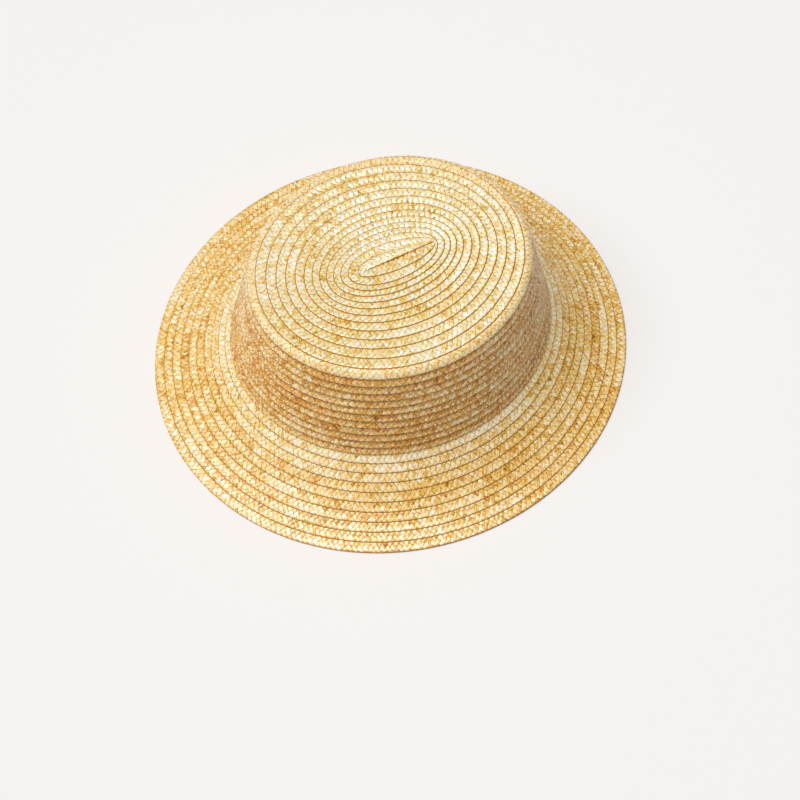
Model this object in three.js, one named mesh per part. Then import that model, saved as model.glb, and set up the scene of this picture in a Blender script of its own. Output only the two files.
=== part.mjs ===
// Straw boater hat, sewn from one long plait of wheat straw that winds outwards from the crown's tip.
// Millimetres, +Z up. The hat stands on its brim, with the origin on the ground under its middle.
// X runs along the head's length and Y across it.
import * as THREE from "three";
import { mergeVertices } from "three/addons/utils/BufferGeometryUtils.js";

// The head line is the oval where the crown's side turns into the brim, measured outside.
const headLength = 195;
const headWidth = 175;

// Crown
const crownHeight = 65; // from the head line to the top
const crownLean = 15; // how far the crown has drawn in at its top
const shoulderRadius = 5; // the turn from the flat tip to the side

// Brim
const brimWidth = 56.5; // from the head line to the edge, along the slope
const brimSlopeAtHead = 46; // degrees below level
const brimSlopeAtEdge = 12; // degrees below level
const brimLand = 3; // width of the flat strip that the hat stands on

// Plait
const plaitPitch = 5.6; // what one round shows of the plait's width below the round above it
const plaitWall = 1.6; // straw thickness with the sewn lap
const lapStep = 0.6; // how far a round's lower edge stands proud of the next round
const roundGap = 0.3; // clearance between the crown's tip, its side and the brim
const fullDepth = plaitWall + lapStep; // from a round's proud edge to the inner face

// The plait starts along a straight seam on the tip, off centre towards the head's front.
const seamFront = 27.3; // from the middle to the seam's front end
const seamBack = 15.6; // from the middle to the seam's back end

// How finely the curves are stepped
const stations = 48; // round the oval
const shoulderSteps = 3; // over the shoulder
const slopeSteps = 24; // along the slope, for each round of the brim
const weldDistance = 1e-4; // corners closer than this are one

// Rounds of the tip, as shares of the way from the seam to the rim. "sides" holds for both
// flanks and the back end. "nose" is the front end, where the first rounds are pinched
// together as the plait turns sharply.
const tipRounds = [
  { sides: 0.113, nose: 0.012 },
  { sides: 0.199, nose: 0.03 },
  { sides: 0.25, nose: 0.112 },
  { sides: 0.305, nose: 0.181 },
  { sides: 0.365, nose: 0.25 },
  { sides: 0.428, nose: 0.327 },
  { sides: 0.494, nose: 0.421 },
  { sides: 0.565, nose: 0.512 },
  { sides: 0.645, nose: 0.604 },
  { sides: 0.73, nose: 0.705 },
  { sides: 0.815, nose: 0.807 },
  { sides: 0.905, nose: 0.905 },
  { sides: 1, nose: 1 },
];

const { degToRad, lerp } = THREE.MathUtils;

// The hat has one profile all round its oval. A profile point's "out" is measured level from
// the head line, its "up" from the ground, and its "slope" is how steeply the straw falls there.

// The brim falls steeply at the head line and flattens towards its edge.
const brimRounds = Math.round(brimWidth / plaitPitch);
const brimPath = [];
let brimDrop = 0;
let brimReach = 0;
for (let i = 0; i <= brimRounds * slopeSteps; i += 1) {
  const share = i / (brimRounds * slopeSteps);
  const slope = degToRad(lerp(brimSlopeAtHead, brimSlopeAtEdge, share));
  if (i % slopeSteps === 0) {
    brimPath.push({ out: brimReach, down: brimDrop, slope });
  }
  if (share < 1) {
    brimReach += (brimWidth / brimRounds / slopeSteps) * Math.cos(slope);
    brimDrop += (brimWidth / brimRounds / slopeSteps) * Math.sin(slope);
  }
}
const headLineUp = brimDrop + fullDepth;
const crownTop = headLineUp + crownHeight;
brimPath.forEach((point) => {
  point.up = headLineUp - point.down;
});

// The side leaves the head line as a straight leaning wall that meets the shoulder's arc.
const shoulder = {
  out: -crownLean - shoulderRadius,
  up: crownTop - shoulderRadius,
};
const toShoulder = Math.hypot(shoulder.out, crownHeight - shoulderRadius);
const wallSlope =
  Math.atan2(crownHeight - shoulderRadius, -shoulder.out) + Math.asin(shoulderRadius / toShoulder);
const wallLength = Math.sqrt(toShoulder ** 2 - shoulderRadius ** 2);
const wallRounds = Math.round(wallLength / plaitPitch);

const shoulderPath = Array.from({ length: shoulderSteps + 1 }, (_, i) => {
  const slope = (wallSlope * i) / shoulderSteps;
  return {
    out: shoulder.out + shoulderRadius * Math.sin(slope),
    up: shoulder.up + shoulderRadius * Math.cos(slope),
    slope,
    tuck: lapStep * (1 - i / shoulderSteps),
  };
});
const wallPath = Array.from({ length: wallRounds + 1 }, (_, i) => {
  const toGo = wallLength * (1 - i / wallRounds);
  return {
    out: -toGo * Math.cos(wallSlope),
    up: headLineUp + toGo * Math.sin(wallSlope),
    slope: wallSlope,
  };
});

// The point of the head line's oval at a station, moved level by "out" along the oval's normal.
function onOval(station, out) {
  const angle = (2 * Math.PI * station) / stations;
  const x = (headLength / 2) * Math.cos(angle);
  const y = (headWidth / 2) * Math.sin(angle);
  const normal = new THREE.Vector2(x / headLength ** 2, y / headWidth ** 2).normalize();
  return new THREE.Vector2(x, y).addScaledVector(normal, out);
}

function ring(pointAt) {
  return Array.from({ length: stations }, (_, station) => pointAt(station));
}

// A ring "depth" below the outer face of a profile point, and "along" further down the slope.
function profileRing({ out, up, slope }, depth, along = 0) {
  const across = out - depth * Math.sin(slope) + along * Math.cos(slope);
  const height = up - depth * Math.cos(slope) - along * Math.sin(slope);
  return ring((station) => {
    const { x, y } = onOval(station, across);
    return new THREE.Vector3(x, y, height);
  });
}

// A ring of the tip, between the seam and the rim.
function tipRing({ sides, nose }, up) {
  const rimEnd = headLength / 2 + shoulder.out;
  const front = lerp(seamFront, rimEnd, nose);
  const back = lerp(-seamBack, -rimEnd, sides);
  return ring((station) => {
    const rim = onOval(station, shoulder.out);
    const x = (front + back) / 2 + (rim.x * (front - back)) / (2 * rimEnd);
    return new THREE.Vector3(x, rim.y * sides, up);
  });
}

// Skins a row of rings. With joinEnds the last ring runs on into the first. Without it, the
// first and last rings are seams, whose two flanks lie on each other.
function skin(rings, joinEnds) {
  const triangles = [];
  const strips = joinEnds ? rings.length : rings.length - 1;
  for (let i = 0; i < strips; i += 1) {
    const here = i * stations;
    const next = ((i + 1) % rings.length) * stations;
    for (let j = 0; j < stations; j += 1) {
      const beside = (j + 1) % stations;
      triangles.push([here + j, next + j, next + beside]);
      triangles.push([here + j, next + beside, here + beside]);
    }
  }
  const geometry = new THREE.BufferGeometry().setFromPoints(rings.flat());
  geometry.setIndex(triangles.flat());
  const merged = mergeVertices(geometry, weldDistance);
  const corners = merged.getIndex().array;
  const kept = triangles
    .map((_, i) => [...corners.slice(3 * i, 3 * i + 3)])
    .filter((triangle) => new Set(triangle).size === triangle.length);
  merged.setIndex(kept.flat());
  merged.computeVertexNormals();
  return merged;
}

// The flat tip: stepped rounds above and plain below, both closed along the seam.
function crownTip() {
  const seam = { sides: 0, nose: 0 };
  const above = tipRounds.flatMap((round, i) => [
    tipRing(tipRounds[i - 1] ?? seam, crownTop - lapStep),
    tipRing(round, crownTop),
  ]);
  const below = [seam, ...tipRounds].map((round) => tipRing(round, crownTop - fullDepth));
  return skin([...above, ...below.reverse()], false);
}

// The crown's side: an open band with a shoulder, stepped outside and plain inside.
function crownSide() {
  const [start, ...turn] = shoulderPath;
  const outside = [
    profileRing(start, start.tuck, roundGap),
    ...turn.map((point) => profileRing(point, point.tuck)),
    ...wallPath
      .slice(1)
      .flatMap((point, i) => [profileRing(wallPath[i], lapStep), profileRing(point, 0)]),
  ];
  const inside = [
    profileRing(start, fullDepth, roundGap),
    ...turn.map((point) => profileRing(point, fullDepth)),
    ...wallPath.slice(1).map((point) => profileRing(point, fullDepth)),
  ];
  return skin([...outside, ...inside.reverse()], true);
}

// The brim: an open, falling ring, stepped above and plain below, with a flat land at its edge.
function brim() {
  const [start, ...rounds] = brimPath;
  const edge = rounds.at(-1);
  const above = rounds.flatMap((point, i) => [
    profileRing(brimPath[i], lapStep, i === 0 ? roundGap : 0),
    profileRing(point, 0),
  ]);
  const below = [
    profileRing(start, fullDepth, roundGap),
    ...rounds.slice(0, -1).map((point) => profileRing(point, fullDepth)),
    profileRing({ out: edge.out - brimLand, up: 0, slope: 0 }, 0),
    profileRing({ out: edge.out, up: 0, slope: 0 }, 0),
  ];
  return skin([...above, ...below.reverse()], true);
}

function strawMesh(name, geometry, color) {
  const straw = new THREE.MeshStandardMaterial({ color, roughness: 0.45, metalness: 0 });
  const mesh = new THREE.Mesh(geometry, straw);
  mesh.name = name;
  return mesh;
}

const hat = new THREE.Group();
hat.add(strawMesh("crown_tip", crownTip(), "#e6c98a"));
hat.add(strawMesh("crown_side", crownSide(), "#d6b173"));
hat.add(strawMesh("brim", brim(), "#e0bf7c"));

export default hat;
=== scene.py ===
# Straw boater hat, wound and sewn from one long plait of wheat straw.
# Lengths are worked out in millimetres and become metres as each mesh is made. +Z is up.
import math

import bpy
import numpy as np
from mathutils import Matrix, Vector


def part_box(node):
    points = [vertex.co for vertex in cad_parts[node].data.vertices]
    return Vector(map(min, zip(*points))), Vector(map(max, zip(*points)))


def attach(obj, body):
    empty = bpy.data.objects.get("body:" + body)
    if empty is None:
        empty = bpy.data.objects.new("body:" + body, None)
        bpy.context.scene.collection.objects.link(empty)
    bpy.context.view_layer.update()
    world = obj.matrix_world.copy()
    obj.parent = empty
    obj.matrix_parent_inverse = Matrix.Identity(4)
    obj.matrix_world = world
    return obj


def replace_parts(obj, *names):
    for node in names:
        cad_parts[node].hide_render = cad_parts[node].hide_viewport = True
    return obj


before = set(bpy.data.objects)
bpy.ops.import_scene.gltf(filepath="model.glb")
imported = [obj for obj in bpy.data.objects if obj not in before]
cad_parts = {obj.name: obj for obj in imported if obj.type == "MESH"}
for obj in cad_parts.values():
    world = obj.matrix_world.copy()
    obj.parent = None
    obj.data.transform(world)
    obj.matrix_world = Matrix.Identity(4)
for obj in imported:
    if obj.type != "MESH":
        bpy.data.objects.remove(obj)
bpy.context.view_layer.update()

dice = np.random.default_rng(27)
metresPerMm = 0.001
mmPerMetre = 1000

# The hat's form. Its main sizes come from the frame.
hat = {
    "shoulderRadius": 5.0,  # turn from the flat tip to the side
    "wallRounds": 11,
    "wallUp": 0.53,  # how far the side's inner foot hangs below the head line
    "bend": 0.35,  # rounds over which the side turns into the brim
    "brimRounds": 10,
    "brimSlopes": (46.0, 12.0),  # degrees below level, at the head line and at the edge
    "edgeUp": 1.75,  # height of the brim's upper face at its edge
    "seam": (-15.6, 27.3),  # the plait's start along the tip's middle, from back end to front end
}

# Rounds of the tip, as shares of the way from the seam to the rim. The front end is pinched.
flankShares = (0, 0.113, 0.199, 0.25, 0.305, 0.365, 0.428, 0.494, 0.565, 0.645, 0.73, 0.815, 0.905, 1)
backShares = (0, 0.075, 0.165, 0.235, 0.3, 0.365, 0.428, 0.494, 0.565, 0.645, 0.73, 0.815, 0.905, 1)
frontShares = (0, 0.012, 0.03, 0.112, 0.181, 0.25, 0.327, 0.421, 0.512, 0.604, 0.705, 0.807, 0.905, 1)


def halfSizes(node):
    low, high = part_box(node)
    return [mmPerMetre * (high[axis] - low[axis]) / 2 for axis in range(3)]


def smooth(share):
    return share**2 * (3 - 2 * share)


rimHalf = halfSizes("crown_tip")
headHalf = halfSizes("crown_side")
edgeHalf = halfSizes("brim")
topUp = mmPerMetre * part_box("crown_tip")[1][2]
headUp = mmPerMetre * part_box("crown_side")[0][2] + hat["wallUp"]
tipRounds = len(flankShares) - 1
sideRounds = tipRounds + 1 + hat["wallRounds"]
allRounds = sideRounds + hat["brimRounds"]
print(f"form: top {topUp:.1f} mm, head line {headUp:.1f} mm, {allRounds} rounds")

# The profile beyond the tip. Each fine step of a round has its slope, and reach and height add up from it.
fineSteps = 32
rounds = np.arange(tipRounds * fineSteps, allRounds * fineSteps + 1) / fineSteps
leanIn = headHalf[0] - rimHalf[0]
wallHeight = topUp - headUp - hat["shoulderRadius"]
toShoulder = math.hypot(leanIn, wallHeight)
wallSlope = math.atan2(wallHeight, leanIn) + math.asin(hat["shoulderRadius"] / toShoulder)
wallLength = math.sqrt(toShoulder**2 - hat["shoulderRadius"] ** 2)
brimShare = np.clip((rounds - sideRounds) / hat["brimRounds"], 0, 1)
brimSlope = np.radians(hat["brimSlopes"][0] + brimShare * (hat["brimSlopes"][1] - hat["brimSlopes"][0]))
slopes = np.where(rounds < tipRounds + 1, wallSlope * (rounds - tipRounds), wallSlope)
slopes = np.where(rounds > sideRounds, brimSlope, slopes)
bendShare = smooth(np.clip((rounds - sideRounds) / hat["bend"] * 0.5 + 0.5, 0, 1))
slopeAfterBend = np.interp(sideRounds + hat["bend"], rounds, slopes)
slopes = np.where(
    np.abs(rounds - sideRounds) < hat["bend"], wallSlope + bendShare * (slopeAfterBend - wallSlope), slopes
)
brimReach = edgeHalf[0] - headHalf[0]
brimLength = brimReach / np.mean(np.cos(brimSlope[rounds >= sideRounds])) / hat["brimRounds"]
shoulderLength = hat["shoulderRadius"] * wallSlope
perRound = np.where(rounds < tipRounds + 1, shoulderLength, wallLength / hat["wallRounds"])
perRound = np.where(rounds > sideRounds, brimLength, perRound)


def addUp(rate):
    middle = (rate[1:] + rate[:-1]) / 2 / fineSteps
    return np.concatenate([[0], np.cumsum(middle)])


outs = addUp(np.cos(slopes) * perRound) - leanIn
ups = topUp - addUp(np.sin(slopes) * perRound)
outs += brimShare * (brimReach - outs[-1])
ups += brimShare * (hat["edgeUp"] - ups[-1])


def onOval(angle, out):
    # the head line's oval, moved level by out along its normal
    x = headHalf[0] * np.cos(angle)
    y = headHalf[1] * np.sin(angle)
    normal = np.stack([x / headHalf[0] ** 2, y / headHalf[1] ** 2])
    normal /= np.hypot(*normal)
    return x + out * normal[0], y + out * normal[1], normal


# A map of the outer face: for every direction round the hat, and every distance from the seam down
# the slope, the point there and its outward normal. Distances below zero lie on the seam's other flank.
columns = 720
mapLow, mapStep, mapBeyond = -10.0, 0.25, 3.0  # first distance, step, and reach past the brim's edge
seamBack, seamFront = hat["seam"]
tipSteps = np.arange(0, tipRounds * fineSteps) / fineSteps
flanks, backs, fronts = (
    np.interp(tipSteps, np.arange(tipRounds + 1), shares)
    for shares in (flankShares, backShares, frontShares)
)
tilt = np.concatenate([np.zeros(len(tipSteps)), slopes])
columnLines = []
lineStarts = []
for column in range(columns + 1):
    angle = 2 * math.pi * column / columns
    rimX, rimY, _ = onOval(angle, -leanIn)
    front = seamFront + fronts * (rimHalf[0] - seamFront)
    back = seamBack + backs * (-rimHalf[0] - seamBack)
    tipX = (front + back) / 2 + rimX * (front - back) / (2 * rimHalf[0])
    x, y, normal = onOval(angle, outs)
    points = np.stack(
        [
            np.concatenate([tipX, x]),
            np.concatenate([rimY * flanks, y]),
            np.concatenate([np.full(len(tipSteps), topUp), ups]),
        ]
    )
    normals = np.stack([np.sin(tilt) * normal[0], np.sin(tilt) * normal[1], np.cos(tilt)])
    distance = np.concatenate([[0], np.cumsum(np.linalg.norm(np.diff(points, axis=1), axis=0))])
    lineStarts.append(distance)
    columnLines.append((distance, np.concatenate([points, normals])))
lineStarts = np.array(lineStarts)  # distance from the seam, by column and fine step
mapStops = np.arange(mapLow, lineStarts.max() + mapBeyond, mapStep)
hatMap = np.empty((columns + 1, len(mapStops), 6))
for column, (distance, values) in enumerate(columnLines):
    for k in range(6):
        hatMap[column, :, k] = np.interp(np.abs(mapStops), distance, values[k])
hatMap[:, mapStops < 0, 1] *= -1
past = np.clip(mapStops[None, :] - lineStarts[:, -1:], 0, None)[:, :, None]
level = np.maximum(np.hypot(hatMap[:, :, 3], hatMap[:, :, 4]), 1e-6)[:, :, None]
# past the brim's edge the map runs on straight
hatMap[:, :, 0:2] += past * math.cos(slopes[-1]) * (hatMap[:, :, 3:5] / level)
hatMap[:, :, 2:3] -= past * math.sin(slopes[-1])
print("map of the outer face ready")


def lookUp(table, across, along):
    i = np.clip(np.floor(across).astype(int), 0, table.shape[0] - 2)
    j = np.clip(np.floor(along).astype(int), 0, table.shape[1] - 2)
    fi = (across - i)[..., None]
    fj = (along - j)[..., None]
    near = table[i, j] * (1 - fj) + table[i, j + 1] * fj
    far = table[i + 1, j] * (1 - fj) + table[i + 1, j + 1] * fj
    return near * (1 - fi) + far * fi


def onHat(turn, distance, depth):
    found = lookUp(hatMap, (turn % 1) * columns, (distance - mapLow) / mapStep)
    normal = found[..., 3:6] / np.linalg.norm(found[..., 3:6], axis=-1, keepdims=True)
    return found[..., 0:3] - depth[..., None] * normal


# The plait and its path. The path is that of its proud edge, turn after turn.
plait = {
    "width": 7.4,
    "leastShown": 3.0,  # least width that a round shows below the round above it
    "thick": 1.05,
    "strands": 7,  # straws that lean each way
    "pitch": 3.3,  # from one straw to the next along the edge
    "rowStep": 2.2,  # from one row of crossings to the next
    "firstRow": 0.3,  # from the proud edge to the middle of the first row
    "lap": 0.62,  # how far a round's edge stands proud of the next
    "lapLimit": 1.3,  # a round goes under the next one by no more than this many laps
    "start": 0.48,  # turns
    "stepOut": 150,  # degrees of each turn, at the hat's back, over which the plait moves out a round
    "endLap": 0.45,  # turns that the last end runs on under the brim's edge
    "paintedSheenTurns": (0, 25.8, 26.4, 28.2, 29.2, 37),  # turns between which a painted sheen makes the straw paler, along the brim's head line
    "paintedSheen": (0, 0, 1.4, 0.9, 0, 0),  # how much, at each of them
    "patchLength": 23,  # mm from one drift of the straw's colour to the next
    "patchShare": 0.3,  # and how strong the drift is
    "patches": 2048,  # drifts drawn, more than the path needs
}

turnStops = np.arange(plait["start"], allRounds + 1 + plait["endLap"], 1 / columns)


def edgeRound(turn):
    # the round that the plait's edge is on: it moves out by one in the first part of each turn
    share = np.clip((turn % 1) * 360 / plait["stepOut"], 0, 1)
    return np.clip(np.floor(turn) - 1 + smooth(share), 0, allRounds)


edgeSteps = edgeRound(turnStops) * fineSteps
edgeStops = lookUp(lineStarts[:, :, None], (turnStops % 1) * columns, edgeSteps)[:, 0]
edgePoints = onHat(turnStops, edgeStops, np.zeros(len(turnStops)))
alongStops = np.concatenate([[0], np.cumsum(np.linalg.norm(np.diff(edgePoints, axis=0), axis=1))])
shownStops = edgeStops - np.interp(turnStops - 1, turnStops, edgeStops, left=-plait["width"])
shownStops = np.clip(shownStops, plait["leastShown"], plait["width"])
print(f"path: {alongStops[-1] / mmPerMetre:.1f} m of plait")


def turnAlong(along):
    return np.interp(along, alongStops, turnStops)


def alongTurn(turn):
    return np.interp(turn, turnStops, alongStops)


def makeMesh(name, points, quads, values, material):
    mesh = bpy.data.meshes.new(name)
    mesh.vertices.add(len(points))
    mesh.vertices.foreach_set("co", (points * metresPerMm).astype(np.float32).ravel())
    mesh.loops.add(4 * len(quads))
    mesh.loops.foreach_set("vertex_index", quads.astype(np.int32).ravel())
    mesh.polygons.add(len(quads))
    mesh.polygons.foreach_set("loop_start", np.arange(0, 4 * len(quads), 4, dtype=np.int32))
    mesh.update(calc_edges=True)
    mesh.shade_smooth()
    for key, value in values.items():
        kind, field = ("FLOAT_VECTOR", "vector") if value.ndim == 2 else ("FLOAT", "value")
        layer = mesh.attributes.new(key, kind, "POINT")
        layer.data.foreach_set(field, value.astype(np.float32).ravel())
    mesh.materials.append(material)
    piece = bpy.data.objects.new(name, mesh)
    bpy.context.collection.objects.link(piece)
    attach(piece, "root")
    print(f"piece {name}: {2 * len(quads)} triangles")
    return piece


def gridQuads(count, longWays, crossStopsHere, flip):
    # stops that repeat part the sheet there, so that a straw's flat face keeps a crisp border
    crossWays = len(crossStopsHere)
    strips = np.flatnonzero(np.diff(crossStopsHere) > 0)
    base = np.arange(longWays - 1)[:, None] * crossWays + strips
    quad = np.stack([base, base + crossWays, base + crossWays + 1, base + 1], axis=-1).reshape(-1, 4)
    quads = np.arange(count)[:, None, None] * longWays * crossWays + quad
    quads = np.where(flip, quads[:, :, ::-1], quads)
    return quads.reshape(-1, 4)


# One straw, as it shows from crossing to crossing. Lengths are millimetres.
straw = {
    "faceHalf": 0.5,  # in shares of the straw's width: beyond it lies its crisp border
    "border": 0.28,  # drop of the border
    "arch": 0.22,  # rise and fall along the straw, which dives at both ends
    "roundness": 0.08,  # fall from its middle line to its long edges
    "archSpread": 0.15,  # spreads are from straw to straw
    "liftSpread": 0.03,
    "tiltAlong": 0.10,
    "tiltAcross": 0.12,
    "widthSpread": 0.05,
    "turnSpread": 0.04,
    "overEdge": 0.85,  # how much of an edge straw rounds over the plait's edge
    "edgeOut": 0.25,  # how far it swells out there
    "edgeTurn": 0.4,  # length over which it swells
    "edgeDrop": 0.72,  # how far it drops there, for each millimetre that goes over
    "lastEdgeDrop": 0.9,  # the same at the brim's edge
    "innerRise": 0.5,  # and how far the inner face rises there
    "innerDepth": 0.35,  # the inner face is deeper than the outer one by this and the plait's thickness
    "innerTrim": 0.2,  # the inner face stops this far short of the plait's edge
    "rollMiddle": 0.5,  # a part's roll swells each round most at this distance from its edge
    "rollSpread": 1.3,  # square millimetres
    "rollFrom": 1.6,  # turns past the tip before it begins
    "nearSeam": 0.2,  # a point nearer to the seam than this, or past it, is held at the seam
    "atSeam": 0.05,
    "lostPastSeam": -2.0,  # a straw whose middle lies past this is left out
    "leastUp": 0.1,  # clearance above the ground
    "length": 2.75,  # from crossing to crossing, for the scale of the fibres
    "width": 2.6,
    "fibreShift": 97,  # each straw takes its fibres from its own place in the pattern
    "strandTone": 0.5,  # tones are from strand to strand, from length to length, and from straw to straw
    "lengthTone": 0.4,
    "toneSpread": 0.55,
    "lengths": 4000,  # lengths of straw before their tones repeat
    "tones": 4096,  # tones drawn for each lean, for its strands and its lengths
    "paintedDiveShade": 0.6,  # painted shade: darker by this at the dived ends, where the straw goes under its neighbours
    "crispShadow": 0.3,  # reach of a lap's painted shade on the tip and the shoulder
    "crispTo": 2.3,  # turns past the tip, up to which that holds
    "wideStrength": 0.6,  # strength of a painted shade that reaches more than a millimetre
}

strawTones = dice.normal(0, 1, (2, straw["tones"]))
patchTones = dice.normal(0, 1, plait["patches"])


def perStraw(middle, spread, count):
    return dice.normal(middle, spread, count)[:, None, None]


def strawPlaces(edge, shown, inward, turn, lift, part, inside):
    # distance down the slope and depth below the outer face, for points of the weave
    beyond = np.clip(-inward, 0, straw["overEdge"])
    held = np.clip(inward, 0, None)
    rounding = straw["edgeOut"] * np.tanh(beyond / straw["edgeTurn"])
    if inside:
        held = np.minimum(held, plait["width"] - straw["innerTrim"])
        tuck = np.minimum((plait["width"] - held) / shown, plait["lapLimit"]) * plait["lap"]
        distance = edge - plait["width"] + held - rounding
        depth = straw["innerDepth"] + plait["thick"] + tuck - beyond * straw["innerRise"] + lift
        return distance, depth
    roll = part["roll"] * np.exp(-((inward - straw["rollMiddle"]) ** 2) / straw["rollSpread"])
    roll = roll * np.clip(turn - tipRounds - straw["rollFrom"], 0, 1)
    tuck = np.minimum(held / shown, plait["lapLimit"]) * plait["lap"]
    drop = np.where(turn < allRounds, straw["edgeDrop"], straw["lastEdgeDrop"])
    return edge - held + rounding, tuck + beyond * drop - (lift + roll)


def strawTone(number, row, centreAlong, turn, roundHere, part):
    leaning = 1 if row % 2 == 0 else 0
    strand = number + (row // 2 if leaning else -(row // 2))
    strands = plait["strands"]
    tone = (
        strawTones[leaning, strand % strands] * straw["strandTone"]
        + strawTones[leaning, strands + (strand // strands) % straw["lengths"]] * straw["lengthTone"]
    )
    tone = tone + dice.normal(0, straw["toneSpread"], len(number))
    tone = tone + np.interp(turn, plait["paintedSheenTurns"], plait["paintedSheen"])
    patch = np.interp(centreAlong / plait["patchLength"], np.arange(len(patchTones)), patchTones)
    tone = tone + part["paintedRowLight"][row] + plait["patchShare"] * patch
    if "paintedShoulderLight" in part:
        middle, share = part["paintedShoulderLight"]
        onShoulder = middle + share * (tone - part["paintedRowLight"][row])
        tone = np.where(roundHere < tipRounds + 1, onShoulder, tone)
    return tone


def weave(part, row, alongStopsHere, crossStopsHere, inside):
    # one row of crossings: each straw shows as one lozenge that dives under its neighbours at its ends
    pitch, rowStep = plait["pitch"], plait["rowStep"]
    number = np.arange(
        math.ceil(alongTurn(part["from"]) / pitch),
        math.ceil(alongTurn(part["to"]) / pitch),
    )
    count = len(number)
    leansBack = row % 2 == 0
    sign = 1 if leansBack else -1
    centreAlong = (number + 0.5 * (row % 2)) * pitch
    centreIn = plait["firstRow"] + rowStep * row  # from the proud edge
    a = np.array(alongStopsHere)[:, None]
    b = np.array(crossStopsHere)[None, :]
    wide = perStraw(1, straw["widthSpread"], count)
    turned = perStraw(0, straw["turnSpread"], count)
    across = (b + turned * a) * wide
    turn = turnAlong(centreAlong[:, None, None] + (a + across) * pitch / 2)
    inward = centreIn - sign * (a - across) * rowStep

    shape = straw["arch"] * np.cos(math.pi * a) - straw["roundness"] * (2 * b) ** 2
    shape = shape - straw["border"] * (np.abs(b) > straw["faceHalf"])
    lift = shape * perStraw(1, straw["archSpread"], count) + perStraw(0, straw["liftSpread"], count)
    lift = lift + a * perStraw(0, straw["tiltAlong"], count) + b * perStraw(0, straw["tiltAcross"], count)

    shown = np.interp(turn, turnStops, shownStops)
    edge = np.interp(turn, turnStops, edgeStops)
    distance, depth = strawPlaces(edge, shown, inward, turn, lift, part, inside)
    lost = np.median(distance.reshape(count, -1), axis=1) < straw["lostPastSeam"]
    keep = ~(lost & (turn[:, 0, 0] >= 1))
    distance = np.where((distance < straw["nearSeam"]) & (turn >= 1), straw["atSeam"], distance)
    points = onHat(turn, distance, depth)
    points[..., 2] = np.maximum(points[..., 2], straw["leastUp"])

    roundHere = edgeRound(turn[:, 0, 0]) - centreIn / shown[:, 0, 0]
    tone = strawTone(number, row, centreAlong, turn[:, 0, 0], roundHere, part)
    tone = tone[:, None, None] - straw["paintedDiveShade"] * a**2
    # where painted shade falls: along a round's own edge, and where the round above laps over it
    shadow = np.where(turn < tipRounds + straw["crispTo"], straw["crispShadow"], part["lapShadow"])
    ownEdge = np.where((turn < allRounds) & (row == 0) & (not inside), inward, 1)
    reach = np.where(turn >= 1, np.minimum(inward, edge), inward)
    reach = np.where(inside & (turn > allRounds), 0, reach)  # no round lies over the last one
    strength = np.where(shadow > 1, straw["wideStrength"], 1)
    lap = np.stack([ownEdge, (shown - reach) / shadow, strength], axis=-1)
    shift = (dice.random(count) * straw["fibreShift"])[:, None, None]
    fibre = np.stack(np.broadcast_arrays(a * straw["length"], b * straw["width"], shift), axis=-1)
    values = {
        "tone": np.broadcast_to(tone, inward.shape)[keep].reshape(-1),
        "lap": lap[keep].reshape(-1, 3),
        "fibre": fibre[keep].reshape(-1, 3),
    }
    quads = gridQuads(int(keep.sum()), len(alongStopsHere), crossStopsHere, leansBack != inside)
    return points[keep].reshape(-1, 3), quads, values


def weaveRows(name, part, rowPlans, inside, material):
    points, quads, values = [], [], {"tone": [], "lap": [], "fibre": []}
    total = 0
    for row, (alongPlan, crossPlan) in enumerate(rowPlans):
        rowPoints, rowQuads, rowValues = weave(part, row, alongPlan, crossPlan, inside)
        quads.append(rowQuads + total)
        points.append(rowPoints)
        total += len(rowPoints)
        for key in values:
            values[key].append(rowValues[key])
    joined = {key: np.concatenate(parts) for key, parts in values.items()}
    return makeMesh(name, np.concatenate(points), np.concatenate(quads), joined, material)


# The plait's own thickness under the woven face: a closed ribbon, lapped round over round.
ribbon = {
    "station": 3,  # mm from one station to the next
    "across": (-0.25, 2.0, 4.5, 7.2),  # mm from the proud edge, on both faces
    "depth": 0.34,  # from the outer face to its upper side
    "atSeam": 0.1,
    "leastUp": 0.15,
    # the body shows only in crevices and takes the full painted lap shade
    "tone": -1.0,
    "lap": (1.0, 0.0, 1.0),
    "fibreScale": 0.3,  # fibres per millimetre
}


def plaitBody(name, part, material):
    start, end = alongTurn(part["from"]), alongTurn(part["to"])
    count = int(end - start) // ribbon["station"]
    turn = turnAlong(np.linspace(start, end, count))[:, None]
    inward = np.array(ribbon["across"] + ribbon["across"][::-1])[None, :]
    under = np.repeat([0, 1], len(ribbon["across"]))[None, :]
    shown = np.interp(turn, turnStops, shownStops)
    tuck = np.clip(inward / shown, 0, plait["lapLimit"]) * plait["lap"]
    depth = ribbon["depth"] + tuck + under * plait["thick"]
    distance = np.interp(turn, turnStops, edgeStops) - inward
    distance = np.where((distance < ribbon["atSeam"]) & (turn >= 1), ribbon["atSeam"], distance)
    points = onHat(np.broadcast_to(turn, distance.shape), distance, depth)
    points[..., 2] = np.maximum(points[..., 2], ribbon["leastUp"])
    corners = inward.size
    ring = np.arange(corners)
    after = (ring + 1) % corners
    base = np.arange(count - 1)[:, None] * corners
    beside = base + corners
    sides = np.stack([base + ring, base + after, beside + after, beside + ring], axis=-1)
    caps = np.array([[0, 7, 6, 5], [0, 5, 4, 3], [0, 3, 2, 1]])  # close the two ends
    quads = np.concatenate([sides.reshape(-1, 4), caps, (count - 1) * corners + caps[:, ::-1]])
    flat = points.reshape(-1, 3)
    values = {
        "tone": np.full(len(flat), ribbon["tone"]),
        "lap": np.tile(ribbon["lap"], (len(flat), 1)),
        "fibre": flat * ribbon["fibreScale"],
    }
    return makeMesh(name, flat, quads, values, material)


def toLinear(code):
    parts = [int(code[k : k + 2], 16) / 255 for k in (1, 3, 5)]
    return [p / 12.92 if p <= 0.04045 else ((p + 0.055) / 1.055) ** 2.4 for p in parts] + [1.0]


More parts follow.
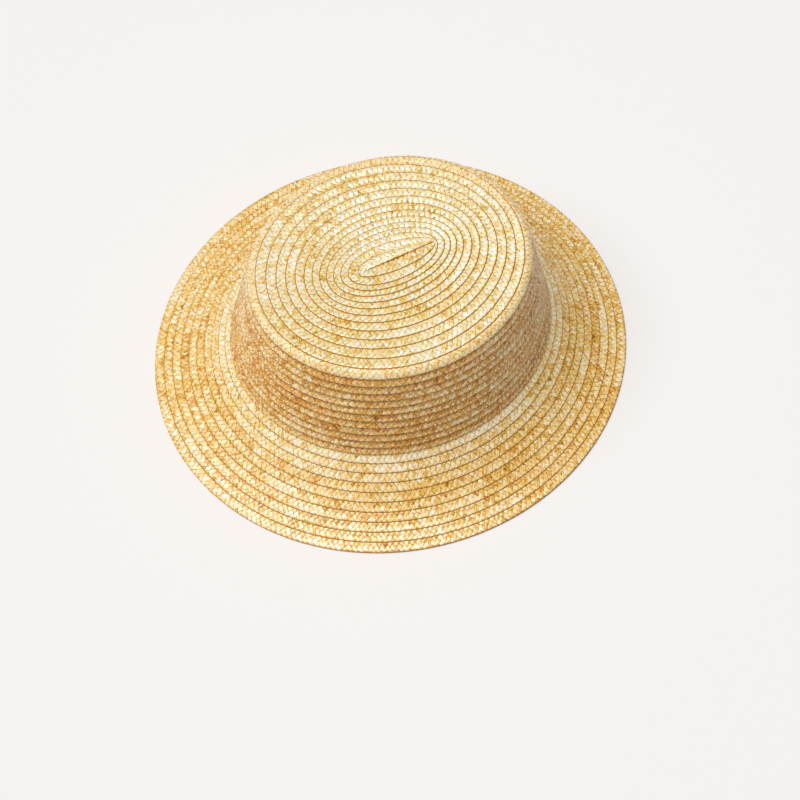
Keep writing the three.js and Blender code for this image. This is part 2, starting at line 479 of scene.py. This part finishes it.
def addNode(tree, kind, sockets, **settings):
    # sockets names each input with the output that feeds it, or with its fixed value
    node = tree.nodes.new(kind)
    for key, value in settings.items():
        setattr(node, key, value)
    for socket, value in sockets.items():
        if isinstance(value, bpy.types.NodeSocket):
            tree.links.new(value, node.inputs[socket])
        else:
            node.inputs[socket].default_value = value
    return node


# Wheat straw, bleached, plaited flat and lightly varnished. It gives the eye pale gold lozenges with
# fine lengthwise fibres and a soft gloss, each a little different in shade, with painted shadow along
# the straws' edges and painted brown shade where rounds lap.
wheatStraw = {
    "stops": (0.0, 0.3, 0.55, 0.8, 1.0),  # places of a finish's five shades, from dark straws to pale ones
    "toneStep": 0.16,  # how far one step of a straw's tone moves it along the shades
    "fibreContrast": 2.2,  # and how far its fibres do
    # Fibres 2.5 mm long and 0.8 mm wide. Real ones are near 0.1 mm wide and would not show.
    "fibresPerMm": (0.4, 1.3, 1.0),
    "fibreDetail": 3.0,
    "fibreBump": (0.35, 0.0001),  # strength, and height in metres
    "castsPerMm": (0.4, 0.5, 3.0),  # patches of warmer and cooler hue, about 2 mm long
    "castRange": (0.3, 0.7),  # what the patches' pattern spans
    "hues": (0.483, 0.515),  # 0.5 leaves the hue as it is
    "paintedStrawShadow": "#a3731c",  # painted shadow along a straw's long edges and at its dived ends
    "edgeShare": 0.6,
    "edgeShift": 0.8,  # mm, over which the darker long edge wanders from straw to straw
    "longEdge": (0.95, 1.4),  # mm from the straw's middle line to where it darkens, and is darkest
    "divedEnd": (1.15, 1.65),  # the same along it
    "lapEdge": 0.45,  # mm of a round's own edge that is darkened with painted shade
    "lapFade": (1.0, 0.5),  # where a lap's painted shade begins and is full, in shares of its reach
    "roughness": 0.32,
    "lapRoughness": 0.9,
    "coatRoughness": 0.18,
    "ior": 1.5,
}


def sewnWheatStraw(name, finish):
    material = bpy.data.materials.new(name)
    material.use_nodes = True
    tree = material.node_tree
    tree.nodes.clear()
    tone = addNode(tree, "ShaderNodeAttribute", {}, attribute_name="tone").outputs["Fac"]
    lap = addNode(tree, "ShaderNodeAttribute", {}, attribute_name="lap").outputs["Vector"]
    fibre = addNode(tree, "ShaderNodeAttribute", {}, attribute_name="fibre").outputs["Vector"]

    # painted shade: a round darkens along its own edge, and where the round above it laps over it
    lapParts = addNode(tree, "ShaderNodeSeparateXYZ", {0: lap}).outputs
    ownEdge = addNode(
        tree,
        "ShaderNodeMapRange",
        {
            "Value": lapParts[0],
            "From Min": wheatStraw["lapEdge"],
            "From Max": 0.0,
            "To Max": finish["paintedEdgeShadow"],
        },
    ).outputs[0]
    begins, full = wheatStraw["lapFade"]
    underLap = addNode(
        tree,
        "ShaderNodeMapRange",
        {"Value": lapParts[1], "From Min": begins, "From Max": full, "To Max": lapParts[2]},
    ).outputs[0]
    paintedShade = addNode(tree, "ShaderNodeMath", {0: ownEdge, 1: underLap}, operation="MAXIMUM").outputs[0]

    # each straw's tone, with its painted light and shade, and its fibres choose the shade
    fibreSpace = addNode(
        tree, "ShaderNodeVectorMath", {0: fibre, 1: wheatStraw["fibresPerMm"]}, operation="MULTIPLY"
    ).outputs[0]
    fibres = addNode(
        tree,
        "ShaderNodeTexNoise",
        {"Vector": fibreSpace, "Scale": 1.0, "Detail": wheatStraw["fibreDetail"]},
    ).outputs["Fac"]
    contrast = wheatStraw["fibreContrast"]
    fibreShade = addNode(
        tree,
        "ShaderNodeMath",
        {0: fibres, 1: contrast, 2: finish["lightness"] - contrast / 2},
        operation="MULTIPLY_ADD",
    ).outputs[0]
    shade = addNode(
        tree,
        "ShaderNodeMath",
        {0: tone, 1: wheatStraw["toneStep"], 2: fibreShade},
        operation="MULTIPLY_ADD",
    ).outputs[0]
    ramp = addNode(tree, "ShaderNodeValToRGB", {"Fac": shade})
    elements = ramp.color_ramp.elements
    for position in wheatStraw["stops"][1:-1]:
        elements.new(position)
    for element, position, code in zip(elements, wheatStraw["stops"], finish["shades"]):
        element.position = position
        element.color = toLinear(code)

    # the hue drifts from straw to straw
    castSpace = addNode(
        tree, "ShaderNodeVectorMath", {0: fibre, 1: wheatStraw["castsPerMm"]}, operation="MULTIPLY"
    ).outputs[0]
    cast = addNode(
        tree, "ShaderNodeTexNoise", {"Vector": castSpace, "Scale": 1.0, "Detail": 1.0}
    ).outputs["Fac"]
    hue = addNode(
        tree,
        "ShaderNodeMapRange",
        {
            "Value": cast,
            "From Min": wheatStraw["castRange"][0],
            "From Max": wheatStraw["castRange"][1],
            "To Min": wheatStraw["hues"][0],
            "To Max": wheatStraw["hues"][1],
        },
    ).outputs[0]
    tinted = addNode(
        tree, "ShaderNodeHueSaturation", {"Hue": hue, "Color": ramp.outputs["Color"]}
    ).outputs[0]

    # painted shadow: a straw darkens along its two edges, and where it dives under the next straws
    onStraw = addNode(tree, "ShaderNodeSeparateXYZ", {0: fibre}).outputs
    chance = addNode(
        tree, "ShaderNodeTexWhiteNoise", {"W": onStraw[2]}, noise_dimensions="1D"
    ).outputs["Value"]
    shift = wheatStraw["edgeShift"]
    aside = addNode(
        tree, "ShaderNodeMath", {0: chance, 1: shift, 2: -shift / 2}, operation="MULTIPLY_ADD"
    ).outputs[0]
    across = addNode(tree, "ShaderNodeMath", {0: onStraw[1], 1: aside}, operation="ADD").outputs[0]
    darker = []
    for place, (near, far) in ((across, wheatStraw["longEdge"]), (onStraw[0], wheatStraw["divedEnd"])):
        size = addNode(tree, "ShaderNodeMath", {0: place}, operation="ABSOLUTE").outputs[0]
        edge = addNode(tree, "ShaderNodeMapRange", {"Value": size, "From Min": near, "From Max": far})
        darker.append(edge.outputs[0])
    darkest = addNode(tree, "ShaderNodeMath", {0: darker[0], 1: darker[1]}, operation="MAXIMUM").outputs[0]
    darkShare = addNode(
        tree, "ShaderNodeMath", {0: darkest, 1: wheatStraw["edgeShare"]}, operation="MULTIPLY"
    ).outputs[0]
    edged = addNode(
        tree,
        "ShaderNodeMix",
        {"Factor": darkShare, 6: tinted, 7: toLinear(wheatStraw["paintedStrawShadow"])},
        data_type="RGBA",
    ).outputs[2]
    # the laps' painted shade is laid over the straw's colour
    lapped = addNode(
        tree, "ShaderNodeMix", {"Factor": paintedShade, 6: edged, 7: toLinear(finish["paintedLapShade"])}, data_type="RGBA"
    ).outputs[2]

    # varnish lies on the open faces and fades out under the laps' painted shade
    strength, height = wheatStraw["fibreBump"]
    bump = addNode(
        tree, "ShaderNodeBump", {"Height": fibres, "Strength": strength, "Distance": height}
    ).outputs["Normal"]
    gloss = addNode(
        tree,
        "ShaderNodeMapRange",
        {"Value": paintedShade, "To Min": wheatStraw["roughness"], "To Max": wheatStraw["lapRoughness"]},
    ).outputs[0]
    varnish = addNode(
        tree, "ShaderNodeMapRange", {"Value": paintedShade, "To Min": finish["varnishing"], "To Max": 0.0}
    ).outputs[0]
    shader = addNode(
        tree,
        "ShaderNodeBsdfPrincipled",
        {
            "Base Color": lapped,
            "Normal": bump,
            "Roughness": gloss,
            "IOR": wheatStraw["ior"],
            "Specular IOR Level": varnish,
            "Coat Weight": varnish,
            "Coat Roughness": wheatStraw["coatRoughness"],
        },
    )
    addNode(tree, "ShaderNodeOutputMaterial", {"Surface": shader.outputs[0]})
    return material


# Each row of straws has stops along and across one straw, in shares of its length and width.
closeRow = ((-0.62, -0.22, 0.22, 0.62), (-0.51, -0.45, -0.45, 0.0, 0.45, 0.45, 0.51))
tuckedRow = ((-0.6, 0.0, 0.6), (-0.5, 0.0, 0.5))
outerRows = (closeRow, closeRow, closeRow, tuckedRow)
innerRows = (tuckedRow, tuckedRow, tuckedRow, tuckedRow)

# Shades of the side's straw, which the inner face shows too. They are deeper and more amber than the rest:
# painted shade for the steep side and the inner face.
shadedSideColours = ("#844d08", "#d0851f", "#ecad43", "#f7d58a", "#fff0c8")

# The inner face and the plait's body have one straw, with little varnish.
innerFace = {
    "shades": shadedSideColours,
    "lightness": 0.55,
    # a bright amber under the laps and in the crevices: painted shade, warmed as by light glowing through
    # the straw
    "paintedLapShade": "#d08c2c",
    "paintedEdgeShadow": 0.0,
    "varnishing": 0.3,
}
underStraw = sewnWheatStraw("wheatStrawUnder", innerFace)


def dressPart(label, node, part):
    outerStraw = sewnWheatStraw(part["finish"], part)
    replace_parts(weaveRows(label, part, outerRows, False, outerStraw), node)
    weaveRows(label + "Inside", part, innerRows, True, underStraw)
    plaitBody(label + "Body", part, underStraw)


crownTip = {
    "from": plait["start"],  # turns
    "to": tipRounds + 1,
    "finish": "wheatStrawTip",
    # paler than the side's and the brim's shades: painted light on the flat top
    "shades": ("#b2801f", "#edc058", "#f9e298", "#fff6d3", "#fffef6"),
    "lightness": 0.62,
    "paintedRowLight": (0.4, 0.4, -0.2, -0.6),  # painted light on the proud row, painted shade on the rows under the round above, from the proud edge inwards
    # colour of the painted shade at the laps
    "paintedLapShade": "#a87a18",
    "lapShadow": 0.3,  # mm that a lap's painted shade reaches
    "paintedEdgeShadow": 0.95,  # strength of the painted shade on a round's own edge
    "varnishing": 0.7,
    "roll": 0.0,  # mm that a round swells beside its edge
}
dressPart("crownTip", "crown_tip", crownTip)

crownSide = {
    "from": tipRounds + 1,
    "to": sideRounds + 1,
    "finish": "wheatStrawSide",
    "shades": shadedSideColours,
    "lightness": 0.62,
    # painted light on the proud row, painted shade on the rows under the round above
    "paintedRowLight": (1.0, 0.1, -0.5, -0.9),
    "paintedShoulderLight": (1.9, 0.4),  # painted light: the shoulder, which faces up, is as pale as the tip: its tone, and its share of spread
    # painted shade at the laps: its colour, its reach, wide under each round of the side, and its strength
    "paintedLapShade": "#a8660f",
    "lapShadow": 1.6,
    "paintedEdgeShadow": 0.5,
    "varnishing": 0.3,
    "roll": 0.5,
}
dressPart("crownSide", "crown_side", crownSide)

hatBrim = {
    "from": sideRounds + 1,
    "to": allRounds + 1 + plait["endLap"],
    "finish": "wheatStrawBrim",
    "shades": ("#965e08", "#dfa236", "#f0c76c", "#fce5a6", "#fff8e0"),
    "lightness": 0.62,
    # painted light on the proud row, painted shade on the rows under the round above
    "paintedRowLight": (0.3, 0.3, -0.3, -0.6),
    # painted shade at the laps: its colour, its reach and its strength
    "paintedLapShade": "#b87812",
    "lapShadow": 0.3,
    "paintedEdgeShadow": 0.95,
    "varnishing": 0.4,
    "roll": 0.0,
}
dressPart("hatBrim", "brim", hatBrim)

# Floor, light and camera. A light has its strength, its width in degrees, where it shines from and its tint.
studio = {
    "floor": "#f0f0f1",
    "floorRoughness": 0.9,
    "floorHalf": 8,  # metres
    "world": 0.15,
    "worldShade": "#ffeed6",
    "key": (1.74, 50, (-0.40, 0.12, 0.90), "#f8fbff"),
    "lamp": (1.35, 12, (-0.14, 0.08, 0.97), "#fffbf6"),
    "lens": 67.5,  # mm
    "sensor": 36,  # mm wide
    "nearest": 0.01,  # metres
    "cameraAt": (-0.2049, -0.4102, 0.8018),  # metres
    "cameraTurn": (27.6, 0, -27.2),  # degrees
}

half = studio["floorHalf"]
floorMesh = bpy.data.meshes.new("floor")
floorMesh.from_pydata(
    [(-half, -half, 0), (half, -half, 0), (half, half, 0), (-half, half, 0)], [], [(0, 1, 2, 3)]
)
floor = bpy.data.objects.new("floor", floorMesh)
bpy.context.collection.objects.link(floor)
paper = bpy.data.materials.new("paperFloor")  # matt white paper: even and without gloss
paper.use_nodes = True
paperShader = paper.node_tree.nodes["Principled BSDF"]
paperShader.inputs["Base Color"].default_value = toLinear(studio["floor"])
paperShader.inputs["Roughness"].default_value = studio["floorRoughness"]
floorMesh.materials.append(paper)

world = bpy.data.worlds.new("studio")
world.use_nodes = True
bpy.context.scene.world = world
background = world.node_tree.nodes["Background"]
background.inputs["Color"].default_value = toLinear(studio["worldShade"])
background.inputs["Strength"].default_value = studio["world"]

for label in ("key", "lamp"):
    strength, width, direction, tint = studio[label]
    lightData = bpy.data.lights.new(label, "SUN")
    lightData.energy = strength
    lightData.angle = math.radians(width)
    lightData.color = toLinear(tint)[:3]
    light = bpy.data.objects.new(label, lightData)
    bpy.context.collection.objects.link(light)
    light.location = direction
    light.rotation_mode = "QUATERNION"
    light.rotation_quaternion = light.location.to_track_quat("Z", "Y")

cameraData = bpy.data.cameras.new("camera")
cameraData.lens = studio["lens"]
cameraData.sensor_width = studio["sensor"]
cameraData.clip_start = studio["nearest"]
camera = bpy.data.objects.new("camera", cameraData)
bpy.context.collection.objects.link(camera)
camera.location = studio["cameraAt"]
camera.rotation_euler = [math.radians(degrees) for degrees in studio["cameraTurn"]]
bpy.context.scene.camera = camera
bpy.context.scene.view_settings.view_transform = "Standard"
print("studio: floor, lights and camera ready")

bpy.context.view_layer.update()
